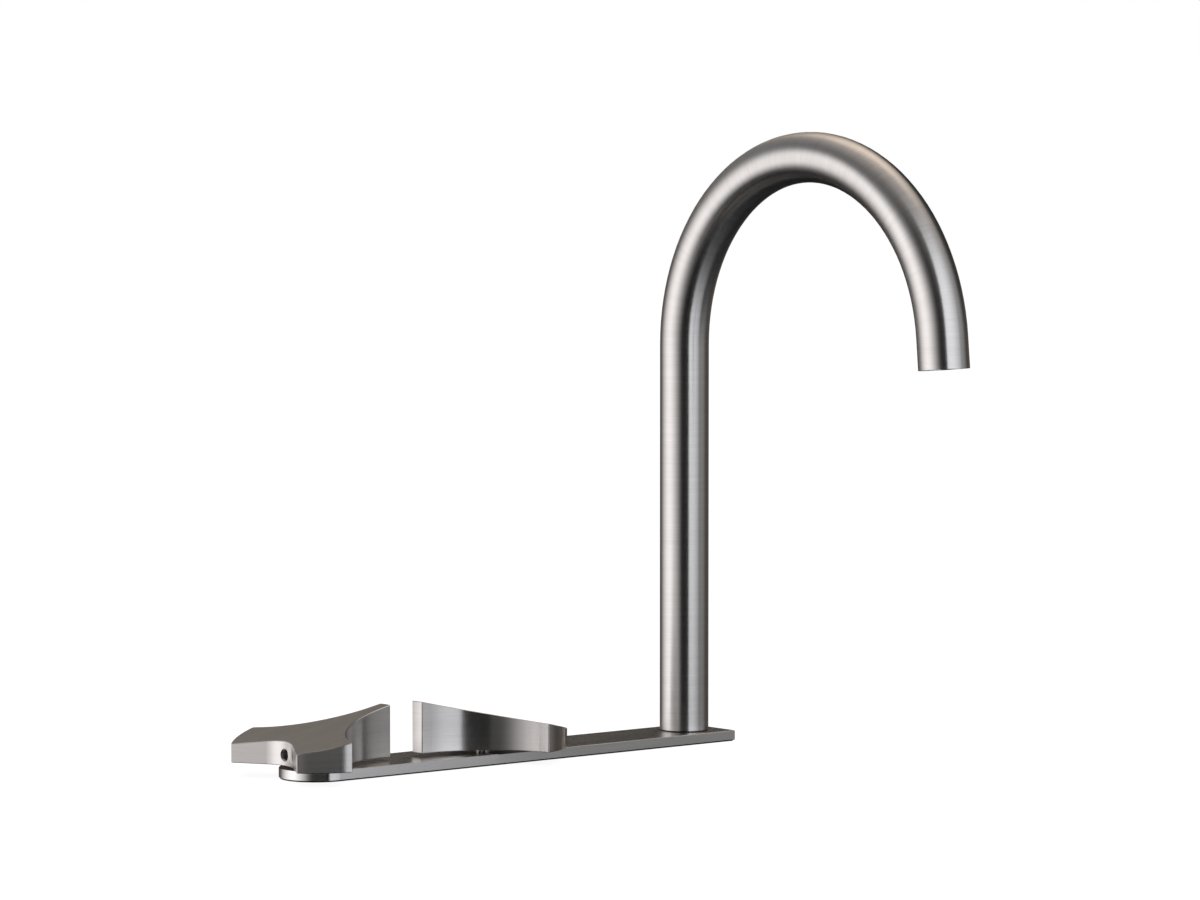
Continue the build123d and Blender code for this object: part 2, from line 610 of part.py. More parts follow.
# Everything that makes up one valve, for the hot side and for the cold side. The spindle and what
# turns with it face the way the handle's tall lobe points when closed.
for side, facing, travel in (("hot", 1, -handle_turn), ("cold", -1, handle_turn)):
    x = stations[side]
    axis = Axis((x, 0, 0), (0, 0, 1))
    section = Plane((x, 0, 0), x_dir=(1, 0, 0), z_dir=(0, -1, 0))
    turned = Plane((x, 0, 0), x_dir=(facing, 0, 0))
    turned_section = Plane((x, 0, 0), x_dir=(facing, 0, 0), z_dir=(0, -facing, 0))

    # Valve body: turned brass, screwed into the plate, with the supply inlet at its lower end
    with BuildPart() as valve_body:
        with BuildSketch(section):
            with BuildLine():
                Polyline(
                    (inlet_radius, body_bottom),
                    (body_radius, body_bottom),
                    (body_radius, shank_end),
                    (shank_radius, shank_end),
                    (shank_radius, plate_bottom),
                    (spigot_radius, plate_bottom),
                    (spigot_radius, plate_top),
                    (flange_radius + thread_clearance, plate_top),
                    (flange_radius + thread_clearance, flange_bottom),
                    (barrel_bore, flange_bottom),
                    (barrel_bore, gallery_top),
                    (gallery_radius, gallery_top),
                    (gallery_radius, seat_level),
                    (feed_radius, seat_level),
                    (feed_radius, body_bottom + inlet_depth),
                    (inlet_radius, body_bottom + inlet_depth),
                    close=True,
                )
            make_face()
        revolve(axis=axis)
        with BuildSketch(Plane((x, riser_offset, port_level))):
            Circle(riser_radius)
        extrude(amount=seat_level - port_level, mode=Mode.SUBTRACT)
        with BuildSketch(Plane((x, port_face, port_level), x_dir=(0, 0, 1), z_dir=(0, 1, 0))):
            Rectangle(port_flat_height, 2 * body_radius)
        extrude(amount=2 * port_flat_depth, mode=Mode.SUBTRACT)
        with Locations(Plane((x, port_face, port_level), z_dir=(0, 1, 0))):
            Hole(port_radius, port_depth)
    valve_body.part.label = f"{side}_valve_body"
    export_step(valve_body.part, f"parts/{side}_valve_body.step")

    # Headwork housing: holds the discs down on their seat and stops the spindle's turn
    with BuildPart() as headwork_housing:
        with BuildSketch(section):
            with BuildLine():
                Polyline(
                    (neck_bore, plate_top),
                    (flange_radius, plate_top),
                    (flange_radius, flange_bottom),
                    (barrel_radius, flange_bottom),
                    (barrel_radius, barrel_bottom),
                    (chamber_radius, barrel_bottom),
                    (chamber_radius, chamber_top),
                    (collar_radius + collar_clearance, chamber_top),
                    (collar_radius + collar_clearance, neck_end),
                    (neck_bore, neck_end),
                    close=True,
                )
            make_face()
            with Locations((barrel_radius, housing_ring_level)):
                Rectangle(2 * housing_groove_depth, housing_ring_section + ring_groove_play,
                          mode=Mode.SUBTRACT)
        revolve(axis=axis)
        with BuildSketch(turned.offset(chamber_top)):
            with PolarLocations(0, 1, start_angle=travel / 2):
                add(stop_room)
        extrude(amount=collar_top - chamber_top, mode=Mode.SUBTRACT)
        with BuildSketch(turned.offset(window_bottom)):
            with PolarLocations(0, 2):
                add(window)
        extrude(amount=window_height, mode=Mode.SUBTRACT)
        with BuildSketch(turned.offset(plate_top)):
            with PolarLocations((flange_radius + neck_bore) / 2, 2):
                Circle(spanner_hole_radius)
        extrude(amount=-spanner_hole_depth, mode=Mode.SUBTRACT)
    headwork_housing.part.label = f"{side}_headwork_housing"
    export_step(headwork_housing.part, f"parts/{side}_headwork_housing.step")

    # O-ring that seals the housing in the valve body
    with BuildPart() as housing_o_ring:
        with BuildSketch(section):
            with Locations((housing_ring_radius, housing_ring_level)):
                Circle(housing_ring_section / 2)
        revolve(axis=axis)
    housing_o_ring.part.label = f"{side}_housing_o_ring"
    export_step(housing_o_ring.part, f"parts/{side}_housing_o_ring.step")

    # Slide washer above the spindle's collar
    with BuildPart() as thrust_washer:
        with BuildSketch(turned.offset(collar_top)):
            Circle(collar_radius)
            Circle(neck_bore, mode=Mode.SUBTRACT)
        extrude(amount=thrust_thickness)
    thrust_washer.part.label = f"{side}_thrust_washer"
    export_step(thrust_washer.part, f"parts/{side}_thrust_washer.step")

    # Spindle: a turned pin with a collar, a stop, a driver for the disc and a flat for the handle
    driver_bottom = moving_disc_top - driver_depth
    with BuildPart() as spindle:
        with BuildSketch(turned_section):
            with BuildLine():
                Polyline(
                    (0, collar_bottom),
                    (collar_radius, collar_bottom),
                    (collar_radius, collar_top),
                    (spindle_radius, collar_top),
                    (spindle_radius, spindle_top - edge_chamfer),
                    (spindle_radius - edge_chamfer, spindle_top),
                    (0, spindle_top),
                    close=True,
                )
            make_face()
            with Locations(*[(spindle_radius, level) for level in spindle_ring_levels]):
                Rectangle(2 * spindle_groove_depth, spindle_ring_section + spindle_groove_play,
                          mode=Mode.SUBTRACT)
        revolve(axis=axis)
        with BuildSketch(turned.offset(collar_bottom)):
            add(stop_lug)
        extrude(amount=collar_thickness)
        with BuildSketch(turned.offset(driver_bottom)):
            Rectangle(2 * collar_radius, driver_width)
            Circle(collar_radius, mode=Mode.INTERSECT)
        extrude(amount=collar_bottom - driver_bottom)
        with BuildSketch(turned.offset(flat_level)):
            with Locations((-spindle_flat, 0)):
                Rectangle(spindle_radius, 2 * spindle_radius, align=(Align.MAX, Align.CENTER))
        extrude(amount=spindle_grip, mode=Mode.SUBTRACT)
    spindle.part.label = f"{side}_spindle"
    export_step(spindle.part, f"parts/{side}_spindle.step")

    # Two O-rings in the spindle's grooves
    with BuildPart() as spindle_o_rings:
        with BuildSketch(section):
            with Locations(*[(spindle_ring_radius, level) for level in spindle_ring_levels]):
                Circle(spindle_ring_section / 2)
        revolve(axis=axis)
    spindle_o_rings.part.label = f"{side}_spindle_o_rings"
    export_step(spindle_o_rings.part, f"parts/{side}_spindle_o_rings.step")

    # Moving ceramic disc: two holes a whole turn of the handle away from the fixed disc's, so that
    # the valve is shut
    with BuildPart() as moving_disc:
        with BuildSketch(turned.offset(fixed_disc_top)):
            Circle(disc_radius)
        extrude(amount=disc_thickness)
        with BuildSketch(turned.offset(fixed_disc_top)):
            with PolarLocations(0, 2, start_angle=-travel):
                add(disc_hole)
        extrude(amount=disc_thickness, mode=Mode.SUBTRACT)
        with BuildSketch(turned.offset(moving_disc_top)):
            Rectangle(2 * disc_radius, driver_width + 2 * thread_clearance)
        extrude(amount=-driver_depth - thread_clearance, mode=Mode.SUBTRACT)
    moving_disc.part.label = f"{side}_moving_disc"
    export_step(moving_disc.part, f"parts/{side}_moving_disc.step")

    # Fixed ceramic disc
    with BuildPart() as fixed_disc:
        with BuildSketch(turned.offset(disc_seal_top)):
            Circle(disc_radius)
        extrude(amount=disc_thickness)
        with BuildSketch(turned.offset(disc_seal_top)):
            with PolarLocations(0, 2):
                add(disc_hole)
        extrude(amount=disc_thickness, mode=Mode.SUBTRACT)
    fixed_disc.part.label = f"{side}_fixed_disc"
    export_step(fixed_disc.part, f"parts/{side}_fixed_disc.step")

    # Rubber seal under the fixed disc: its lip stands on the seat around the feed
    with BuildPart() as disc_seal:
        with BuildSketch(section):
            with BuildLine():
                Polyline(
                    (disc_hole_outer, seat_level),
                    (seal_lip_radius, seat_level),
                    (seal_lip_radius, seal_lip_top),
                    (disc_radius, seal_lip_top),
                    (disc_radius, disc_seal_top),
                    (disc_hole_outer, disc_seal_top),
                    close=True,
                )
            make_face()
        revolve(axis=axis)
    disc_seal.part.label = f"{side}_disc_seal"
    export_step(disc_seal.part, f"parts/{side}_disc_seal.step")

    # Handle: milled from a round bar, three lobes under a sloping top, bored for the spindle
    with BuildPart() as handle:
        with BuildSketch(turned.offset(handle_bottom)) as plan:
            with BuildLine():
                CenterArc((0, 0), handle_radius, 0, tip_half_angle)
                Line(tip_corner, side_corner)
                Line(side_corner, low_outer)
                CenterArc((0, 0), handle_radius, low_lobe_angle - low_half_angle, 2 * low_half_angle)
                Line(low_inner, scallop_corner)
                mirror(about=Plane.XZ)
            make_face()
            for corner in (side_corner, (side_corner[0], -side_corner[1])):
                fillet(plan.vertices().sort_by_distance(corner)[0], side_radius)
            fillet(plan.vertices().sort_by_distance(scallop_corner)[0], scallop_radius)
            for corner in (tip_corner, low_outer, low_inner):
                for mirrored in (corner, (corner[0], -corner[1])):
                    fillet(plan.vertices().sort_by_distance(mirrored)[0], corner_fillet)
        extrude(amount=2 * hub_height + handle_radius * tan(radians(handle_slope)))
        slope = radians(handle_slope)
        top_normal = (-facing * sin(slope), 0, cos(slope))
        split(bisect_by=Plane((x, 0, handle_bottom + hub_height), z_dir=top_normal), keep=Keep.BOTTOM)
        caps = handle.faces().sort_by(Axis.Z)
        chamfer(caps[0].edges() + caps[-1].edges(), edge_chamfer)
        with BuildSketch(turned.offset(handle_bottom)):
            Circle(spindle_radius + running_clearance)
        extrude(amount=flat_start, mode=Mode.SUBTRACT)
        with BuildSketch(turned.offset(flat_level)):
            Circle(spindle_radius + running_clearance)
            with Locations((-spindle_flat - running_clearance, 0)):
                Rectangle(spindle_radius, 2 * (spindle_radius + loose_clearance),
                          align=(Align.MAX, Align.CENTER), mode=Mode.SUBTRACT)
        extrude(amount=spindle_grip - flat_start + loose_clearance, mode=Mode.SUBTRACT)
        with Locations(Plane((x - facing * hub_back, 0, grub_level), z_dir=(-facing, 0, 0))):
            CounterSinkHole(grub_radius + thread_clearance, grub_countersink, hub_back)
    handle.part.label = f"{side}_handle"
    export_step(handle.part, f"parts/{side}_handle.step")

    # Grub screw in the hub, which presses on the spindle's flat
    grub_plane = Plane((x - facing * spindle_flat, 0, grub_level), z_dir=(-facing, 0, 0))
    with BuildPart() as handle_grub_screw:
        with BuildSketch(grub_plane):
            Circle(grub_radius)
        extrude(amount=grub_length)
        with BuildSketch(grub_plane.offset(grub_length)):
            RegularPolygon(grub_socket_flats / 2, 6, major_radius=False)
        extrude(amount=-grub_socket_depth, mode=Mode.SUBTRACT)
    handle_grub_screw.part.label = f"{side}_handle_grub_screw"
    export_step(handle_grub_screw.part, f"parts/{side}_handle_grub_screw.step")
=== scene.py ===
from math import pi, radians

import bmesh
import bpy
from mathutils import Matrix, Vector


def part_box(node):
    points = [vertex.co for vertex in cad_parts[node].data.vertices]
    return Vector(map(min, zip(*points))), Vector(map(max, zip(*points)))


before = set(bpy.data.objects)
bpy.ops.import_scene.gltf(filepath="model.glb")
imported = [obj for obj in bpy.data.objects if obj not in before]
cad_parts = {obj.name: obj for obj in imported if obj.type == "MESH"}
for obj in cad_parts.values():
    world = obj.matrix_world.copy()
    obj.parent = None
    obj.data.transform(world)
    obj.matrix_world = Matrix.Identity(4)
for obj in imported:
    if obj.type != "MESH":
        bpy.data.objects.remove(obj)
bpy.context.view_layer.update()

# A three-hole mixer tap in brushed stainless steel, section by section in the order in which it is
# put together. Lengths are in metres. X runs along the deck plate, -Y is the user's side, Z is up.
# A pair of colours or of gloss values holds the two ends between which a surface varies.

# Deck plate: a flat bar of stainless steel, cut to length, rounded at one end and broken at its
# edges. It is belt-brushed along its length on top and round its sides, and screwed down by the
# three shanks that come up into it.
plate_colours = ("#C6C5C4", "#D2D1D0")
plate_gloss = (0.19, 0.25)
plate_side_spread = 0.9
plate_top_spread = 0.8
plate_scratch_length = 0.030
plate_scratch_depth = 0.0000035
# The belt's grit is about 0.1 mm wide. Its scratches are too fine to show, so they are drawn 1 mm
# wide.
plate_scratch_width = 0.0010


def linear(hex_colour):
    """The sRGB hex colour as the linear colour that a shader takes."""
    parts = [int(hex_colour[i:i + 2], 16) / 255 for i in (1, 3, 5)]
    return [p / 12.92 if p <= 0.04045 else ((p + 0.055) / 1.055) ** 2.4 for p in parts] + [1.0]


def add_node(tree, kind, inputs=(), **settings):
    """A new node with its own settings. inputs gives a value or another node's output by socket."""
    node = tree.nodes.new(kind)
    for name, value in settings.items():
        setattr(node, name, value)
    for name, value in dict(inputs).items():
        if isinstance(value, bpy.types.NodeSocket):
            tree.links.new(value, node.inputs[name])
        else:
            node.inputs[name].default_value = value
    return node


def new_material(name):
    """An empty material and its node tree."""
    material = bpy.data.materials.new(name)
    material.use_nodes = True
    material.node_tree.nodes.clear()
    return material, material.node_tree


def dress(material, *names):
    """Gives the CAD nodes the material."""
    for name in names:
        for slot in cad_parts[name].material_slots:
            slot.material = material


def surface(tree, colours, tint_by, gloss, gloss_by, relief, relief_by, sockets):
    """Ends a material. Its colour follows tint_by, its gloss gloss_by and its height relief_by.

    Noise seldom leaves the middle of its range, so that part is stretched over the whole of each
    pair. relief holds the bump's strength and height, and sockets the shader's other values.
    """
    tint = add_node(tree, "ShaderNodeValToRGB", {"Fac": tint_by})
    for stop, position, colour in zip(tint.color_ramp.elements, (0.35, 0.65), colours):
        stop.position = position
        stop.color = linear(colour)
    roughness = add_node(tree, "ShaderNodeMapRange",
                         {"Value": gloss_by, "From Min": 0.3, "From Max": 0.7,
                          "To Min": gloss[0], "To Max": gloss[1]})
    bump = add_node(tree, "ShaderNodeBump",
                    {"Height": relief_by, "Strength": relief[0], "Distance": relief[1]})
    shader = add_node(tree, "ShaderNodeBsdfPrincipled",
                      {"Base Color": tint.outputs[0], "Roughness": roughness.outputs[0],
                       "Normal": bump.outputs[0], **sockets})
    add_node(tree, "ShaderNodeOutputMaterial", {"Surface": shader.outputs[0]})


def brushed_surface(tree, place, across, colours, gloss, depth, spread):
    """Ends a brushed steel: its scratches run the way in which place changes slowly.

    They stretch each reflection along across, the more so the nearer spread is to 1.
    """
    scratches = add_node(tree, "ShaderNodeTexNoise",
                         {"Vector": place, "Scale": 1.0, "Detail": 3.0, "Roughness": 0.65})
    # faint bands, some four scratches wide
    bands = add_node(tree, "ShaderNodeTexNoise", {"Vector": place, "Scale": 0.23, "Detail": 2.0})
    both = add_node(tree, "ShaderNodeMix",
                    {"Factor": 0.35, "A": scratches.outputs[0], "B": bands.outputs[0]})
    tangent = add_node(tree, "ShaderNodeVectorTransform", {"Vector": across},
                       vector_type="VECTOR", convert_from="OBJECT", convert_to="WORLD")
    surface(tree, colours, both.outputs["Result"], gloss, scratches.outputs[0],
            (0.12, depth), both.outputs["Result"],
            {"Metallic": 1.0, "Anisotropic": spread, "Tangent": tangent.outputs[0]})


def belt_brushed_steel(name, colours, gloss, width, length, depth, side_spread, top_spread):
    """Stainless steel brushed along X on level faces, and level with the deck on upright ones.

    To the eye it is a satin metal that draws each reflection out into a soft streak.
    """
    material, tree = new_material(name)
    place = add_node(tree, "ShaderNodeTexCoord")
    # 1 on faces that slope by less than about 40 degrees, such as the handles' tops, and else 0
    facing = add_node(tree, "ShaderNodeSeparateXYZ", {"Vector": place.outputs["Normal"]})
    upward = add_node(tree, "ShaderNodeMath", {0: facing.outputs["Z"]}, operation="ABSOLUTE")
    level = add_node(tree, "ShaderNodeMath", {0: upward.outputs[0], 1: 0.75},
                     operation="GREATER_THAN")
    on_top = add_node(tree, "ShaderNodeVectorMath",
                      {0: place.outputs["Object"], 1: (1 / length, 1 / width, 1 / length)},
                      operation="MULTIPLY")
    on_side = add_node(tree, "ShaderNodeVectorMath",
                       {0: place.outputs["Object"], 1: (1 / length, 1 / length, 1 / width)},
                       operation="MULTIPLY")
    scratch_place = add_node(tree, "ShaderNodeMix",
                             {"Factor": level.outputs[0], 4: on_side.outputs[0],
                              5: on_top.outputs[0]}, data_type="VECTOR")
    across = add_node(tree, "ShaderNodeMix",
                      {"Factor": level.outputs[0], 4: (0.0, 0.0, 1.0), 5: (0.0, 1.0, 0.0)},
                      data_type="VECTOR")
    spread = add_node(tree, "ShaderNodeMix",
                      {"Factor": level.outputs[0], "A": side_spread, "B": top_spread})
    brushed_surface(tree, scratch_place.outputs[1], across.outputs[1], colours, gloss, depth,
                    spread.outputs["Result"])
    return material


plate_steel = belt_brushed_steel("belt_brushed_stainless_plate", plate_colours, plate_gloss,
                                 plate_scratch_width, plate_scratch_length, plate_scratch_depth,
                                 plate_side_spread, plate_top_spread)
dress(plate_steel, "deck_plate")

# Gasket and soft washers: black EPDM rubber, cut from sheet. The gasket keeps water from running
# under the plate, and the washers grip the deck from below.
sheet_rubber_colours = ("#1C1C1D", "#2B2B2D")
sheet_rubber_roughness = 0.7
sheet_rubber_ior = 1.52
cloth_mark = 0.0006
cloth_mark_height = 0.00005


def speckled(name, colours, roughness, grain, height, metallic=0.0, ior=1.5):
    """A material with a fine even grain, and a broad mottle some twelve times as coarse."""
    material, tree = new_material(name)
    place = add_node(tree, "ShaderNodeTexCoord")
    fine = add_node(tree, "ShaderNodeTexNoise",
                    {"Vector": place.outputs["Object"], "Scale": 1 / grain, "Detail": 3.0})
    broad = add_node(tree, "ShaderNodeTexNoise",
                     {"Vector": place.outputs["Object"], "Scale": 0.08 / grain, "Detail": 2.0})
    both = add_node(tree, "ShaderNodeMix",
                    {"Factor": 0.5, "A": fine.outputs[0], "B": broad.outputs[0]})
    surface(tree, colours, both.outputs["Result"], (roughness - 0.05, roughness + 0.05),
            both.outputs["Result"], (0.3, height), fine.outputs[0],
            {"Metallic": metallic, "IOR": ior})
    return material


# Calendered sheet: matt black with a greyish bloom and the print of the cloth that it lay on.
sheet_rubber = speckled("epdm_sheet_rubber", sheet_rubber_colours, sheet_rubber_roughness,
                        cloth_mark, cloth_mark_height, ior=sheet_rubber_ior)
dress(sheet_rubber, "deck_seal", "spout_rubber_washer", "cold_rubber_washer", "hot_rubber_washer")

# Washers under the rubber: pressed mild steel, zinc plated. They spread the nuts' load, and show
# cool and bright with the faint mottle of the zinc's crystals.
zinc_plate = speckled("zinc_plated_steel", ("#9FA6AD", "#C3C8CC"), roughness=0.32, grain=0.0025,
                      height=0.00002, metallic=1.0)
dress(zinc_plate, "spout_clamp_washer", "cold_clamp_washer", "hot_clamp_washer")

# Backnuts, shanks, valve bodies and the mixing tee: free-machining brass, turned from bar. The
# nuts run up the shanks and clamp the plate to the deck, and the tee screws on below the spout.
brass_colours = ("#C7A562", "#E2C988")
brass_roughness = 0.24
# A lathe feeds about 0.15 mm for each turn, which is too fine to show, so it is drawn as 0.6 mm.
lathe_feed = 0.0006
ring_height = 0.00004


def turned_metal(name, axis_x, colours, roughness, feed):
    """A metal turned about the upright axis at axis_x.

    The lathe's rings show as fine bright lines round it, and old handling as a faint stain.
    """
    material, tree = new_material(name)
    place = add_node(tree, "ShaderNodeTexCoord")
    centred = add_node(tree, "ShaderNodeVectorMath",
                       {0: place.outputs["Object"], 1: (axis_x, 0.0, 0.0)}, operation="SUBTRACT")
    parts = add_node(tree, "ShaderNodeSeparateXYZ", {"Vector": centred.outputs[0]})
    flat = add_node(tree, "ShaderNodeCombineXYZ",
                    {"X": parts.outputs["X"], "Y": parts.outputs["Y"]})
    reach = add_node(tree, "ShaderNodeVectorMath", {0: flat.outputs[0]}, operation="LENGTH")
    along = add_node(tree, "ShaderNodeMath", {0: parts.outputs["Z"], 1: reach.outputs["Value"]},
                     operation="ADD")
    rings = add_node(tree, "ShaderNodeTexNoise",
                     {"W": along.outputs[0], "Scale": 1 / feed, "Detail": 2.0},
                     noise_dimensions="1D")
    # stains some 8 mm across
    stain = add_node(tree, "ShaderNodeTexNoise",
                     {"Vector": place.outputs["Object"], "Scale": 120.0, "Detail": 4.0})
    both = add_node(tree, "ShaderNodeMix",
                    {"Factor": 0.4, "A": rings.outputs[0], "B": stain.outputs[0]})
    surface(tree, colours, both.outputs["Result"], (roughness - 0.05, roughness + 0.08),
            stain.outputs[0], (0.25, ring_height), rings.outputs[0], {"Metallic": 1.0})
    return material


stations = {}
for station in ("spout", "cold", "hot"):
    low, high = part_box(f"{station}_backnut")
    stations[station] = (low.x + high.x) / 2
    turned_brass = turned_metal(f"turned_brass_{station}", stations[station], brass_colours,
                                brass_roughness, lathe_feed)
    dress(turned_brass, f"{station}_backnut")
    if station == "spout":
        dress(turned_brass, "spout_shank", "spout_foot", "mixing_tee", "mouth_ring")
    else:
        dress(turned_brass, f"{station}_valve_body")

# Headwork housings: turned from brass bar and nickel plated, since their top faces show beside the
# handles, level with the plate. They hold the ceramic discs down and stop the spindle's turn. The
# plating is a warm grey, darker than the steel round it.
for side in ("hot", "cold"):
    nickel_plate = turned_metal(f"nickel_plated_{side}_headwork", stations[side],
                                ("#8F8D88", "#B9B6B0"), roughness=0.2, feed=lathe_feed)
    dress(nickel_plate, f"{side}_headwork_housing")

# Seal between the shank and the mixing tee: red vulcanised fibre, punched from sheet. It shows dull
# and slightly fuzzy, like hard card.
fibre = speckled("vulcanised_fibre", ("#6E2A22", "#8A3A2E"), roughness=0.6, grain=0.0008,
                 height=0.00003)
dress(fibre, "tee_seal")

# Spout bearings: acetal rings, the upper one let into the pivot, the lower one under the tube.
# Moulded black with a slight sheen. The lower one's black also stands in for the shade in the gap
# at the tube's foot, as painted shade, so that it shows as a thin dark line.
# black acetal, whose black on the lower ring is also painted shade at the tube's foot
black_acetal_and_foot_shade = speckled("black_acetal_painted_foot_shade", ("#141415", "#1E1E20"), roughness=0.42,
                        grain=0.0015, height=0.00001)
dress(black_acetal_and_foot_shade, "spout_guide_ring", "spout_bearing_ring")

# O-rings and lipped seals: moulded EPDM rubber, seated in turned grooves. They are smoother than
# the sheet and faintly greased, which gives them a soft shine.
ring_rubber = speckled("moulded_epdm_rubber", ("#161617", "#222224"), roughness=0.45, grain=0.0009,
                       height=0.00002)
dress(ring_rubber, "spout_o_rings", "hot_housing_o_ring", "cold_housing_o_ring",
      "hot_spindle_o_rings", "cold_spindle_o_rings", "hot_disc_seal", "cold_disc_seal",
      "aerator_seal")

# Spout tube: one length of stainless tube, bent cold and then brushed round and round, so each
# reflection is drawn out along the tube. It is soldered to the foot that turns on the shank.
bend_radius = 0.095
bend_height = 0.2035
tube_colours = ("#C1C0BF", "#CDCCCB")
tube_gloss = (0.28, 0.32)
tube_spread = 0.9
tube_scratch_length = 0.016
tube_scratch_depth = 0.000003
# Real scratches are about 0.1 mm wide here too, and are drawn 0.6 mm wide, so that they show.
tube_scratch_width = 0.0006

tube_steel, tree = new_material("ring_brushed_stainless_tube")
place = add_node(tree, "ShaderNodeTexCoord")
point = add_node(tree, "ShaderNodeSeparateXYZ", {"Vector": place.outputs["Object"]})
# The point as seen from the middle of the bend, and how far round the bend it lies
outward = add_node(tree, "ShaderNodeMath", {0: point.outputs["Y"], 1: bend_radius}, operation="ADD")
upward = add_node(tree, "ShaderNodeMath", {0: point.outputs["Z"], 1: bend_height},
                  operation="SUBTRACT")
from_top = add_node(tree, "ShaderNodeMath", {0: outward.outputs[0], 1: upward.outputs[0]},
                    operation="ARCTAN2")
turn = add_node(tree, "ShaderNodeMath", {0: pi / 2, 1: from_top.outputs[0]}, operation="SUBTRACT")
bent = add_node(tree, "ShaderNodeMath", {0: turn.outputs[0], 1: 0.0}, operation="GREATER_THAN")
angle = add_node(tree, "ShaderNodeMath", {0: turn.outputs[0], 1: 0.0}, operation="MAXIMUM")
# The tube laid out straight: run goes along it and depth through it
arc = add_node(tree, "ShaderNodeMath", {0: angle.outputs[0], 1: bend_radius}, operation="MULTIPLY")
run = add_node(tree, "ShaderNodeMix",
               {"Factor": bent.outputs[0], "A": upward.outputs[0], "B": arc.outputs[0]})
radial = add_node(tree, "ShaderNodeCombineXYZ", {"X": outward.outputs[0], "Y": upward.outputs[0]})
reach = add_node(tree, "ShaderNodeVectorMath", {0: radial.outputs[0]}, operation="LENGTH")
depth = add_node(tree, "ShaderNodeMix",
                 {"Factor": bent.outputs[0], "A": outward.outputs[0], "B": reach.outputs["Value"]})
straight = add_node(tree, "ShaderNodeCombineXYZ",
                    {"X": run.outputs[0], "Y": point.outputs["X"], "Z": depth.outputs[0]})
scratch_place = add_node(tree, "ShaderNodeVectorMath",
                         {0: straight.outputs[0],
                          1: (1 / tube_scratch_width, 1 / tube_scratch_length,
                              1 / tube_scratch_length)}, operation="MULTIPLY")
sine = add_node(tree, "ShaderNodeMath", {0: angle.outputs[0]}, operation="SINE")
forward = add_node(tree, "ShaderNodeMath", {0: sine.outputs[0], 1: -1.0}, operation="MULTIPLY")
cosine = add_node(tree, "ShaderNodeMath", {0: angle.outputs[0]}, operation="COSINE")
tube_axis = add_node(tree, "ShaderNodeCombineXYZ",
                     {"X": 0.0, "Y": forward.outputs[0], "Z": cosine.outputs[0]})
brushed_surface(tree, scratch_place.outputs[0], tube_axis.outputs[0], tube_colours, tube_gloss,
                tube_scratch_depth, tube_spread)
dress(tube_steel, "spout_tube")

# Grub screws: plain stainless, headless, one behind the spout's foot and one in each handle's hub.
# Heading oil has left them a little darker than the steel round them.
grub_steel = speckled("plain_screw_steel", ("#8E8E90", "#ABABAD"), roughness=0.25, grain=0.0012,
                      height=0.00001, metallic=1.0)
dress(grub_steel, "spout_grub_screw", "hot_handle_grub_screw", "cold_handle_grub_screw")

# Aerator in the mouth: a stainless shell on the soldered brass ring, a honeycomb in it and a screen
# above, which keep the stream straight and free of grit. The shell is turned and bright, the
# honeycomb moulded from milky white acetal, and the screen punched from sheet and dull.
white_acetal = speckled("moulded_white_acetal", ("#CFCFC9", "#DEDED8"), roughness=0.4, grain=0.0012,
                        height=0.00001)
dress(white_acetal, "aerator_core")
shell_steel = turned_metal("turned_stainless_shell", 0.0, ("#A9A7A4", "#C8C6C3"), roughness=0.2,
                           feed=0.0004)
dress(shell_steel, "aerator_housing")
screen_steel = speckled("perforated_stainless", ("#8B8A88", "#B4B3B1"), roughness=0.35,
                        grain=0.0007, height=0.00001, metallic=1.0)
dress(screen_steel, "aerator_screen")

# Ceramic cartridge of each valve: two alumina discs, lapped to a faint shine, on their rubber seal,
# a slide washer skived from waxy white PTFE, and a turned stainless spindle that carries the
# handle and shows fine bright rings.
alumina = speckled("lapped_alumina", ("#DDDAD2", "#E8E6DF"), roughness=0.22, grain=0.0008,
                   height=0.000005)
dress(alumina, "hot_moving_disc", "hot_fixed_disc", "cold_moving_disc", "cold_fixed_disc")
skived_ptfe = speckled("skived_ptfe", ("#DEDEDA", "#EBEBE8"), roughness=0.5, grain=0.0006,
                       height=0.00001)
dress(skived_ptfe, "hot_thrust_washer", "cold_thrust_washer")
for side in ("hot", "cold"):
    spindle_steel = turned_metal(f"turned_stainless_{side}_spindle", stations[side],
                                 ("#A19F9C", "#C4C2BF"), roughness=0.18, feed=0.0005)
    dress(spindle_steel, f"{side}_spindle")

# Handles: milled from stainless bar to three lobes under a sloping top, then belt-brushed, along
# the lobes' long axis on top and level round the sides, with every edge broken. The tops are
# brushed more finely, so that they stay an even grey.
handle_colours = ("#CECCCB", "#DAD8D7")
handle_gloss = (0.29, 0.32)
handle_side_spread = 1.0
handle_top_spread = 0.3
handle_scratch_length = 0.030
handle_scratch_depth = 0.000003
# Drawn 0.9 mm wide, as coarse as they have to be to show
handle_scratch_width = 0.0009
handle_steel = belt_brushed_steel("belt_brushed_stainless_handle", handle_colours, handle_gloss,
                                  handle_scratch_width, handle_scratch_length,
                                  handle_scratch_depth, handle_side_spread, handle_top_spread)
dress(handle_steel, "hot_handle", "cold_handle")

# Camera: at the photograph's angle, low and far off to the left. Its angles are in radians, down
# from the level and round from +Y.
camera_pitch = 0.0602
camera_turn = 0.6921
camera = bpy.data.objects.new("camera", bpy.data.cameras.new("camera"))
camera.data.sensor_width = 36.0
camera.data.lens = 141.24
camera.data.clip_end = 100.0
camera.location = (-1.56673, -1.82261, 0.29405)
camera.rotation_euler = (pi / 2 - camera_pitch, 0.0, -camera_turn)
bpy.context.scene.collection.objects.link(camera)
bpy.context.scene.camera = camera

# Floor: the deck as a plain white sheet, which keeps the tap's soft shadow. It can be looked
# through from below, so that the shanks and valves show there.
floor_radius = 14.0
floor_drop = 0.0002  # clear of the gasket's underside
floor_colour = "#7C7C7C"
floor_glow = 0.92


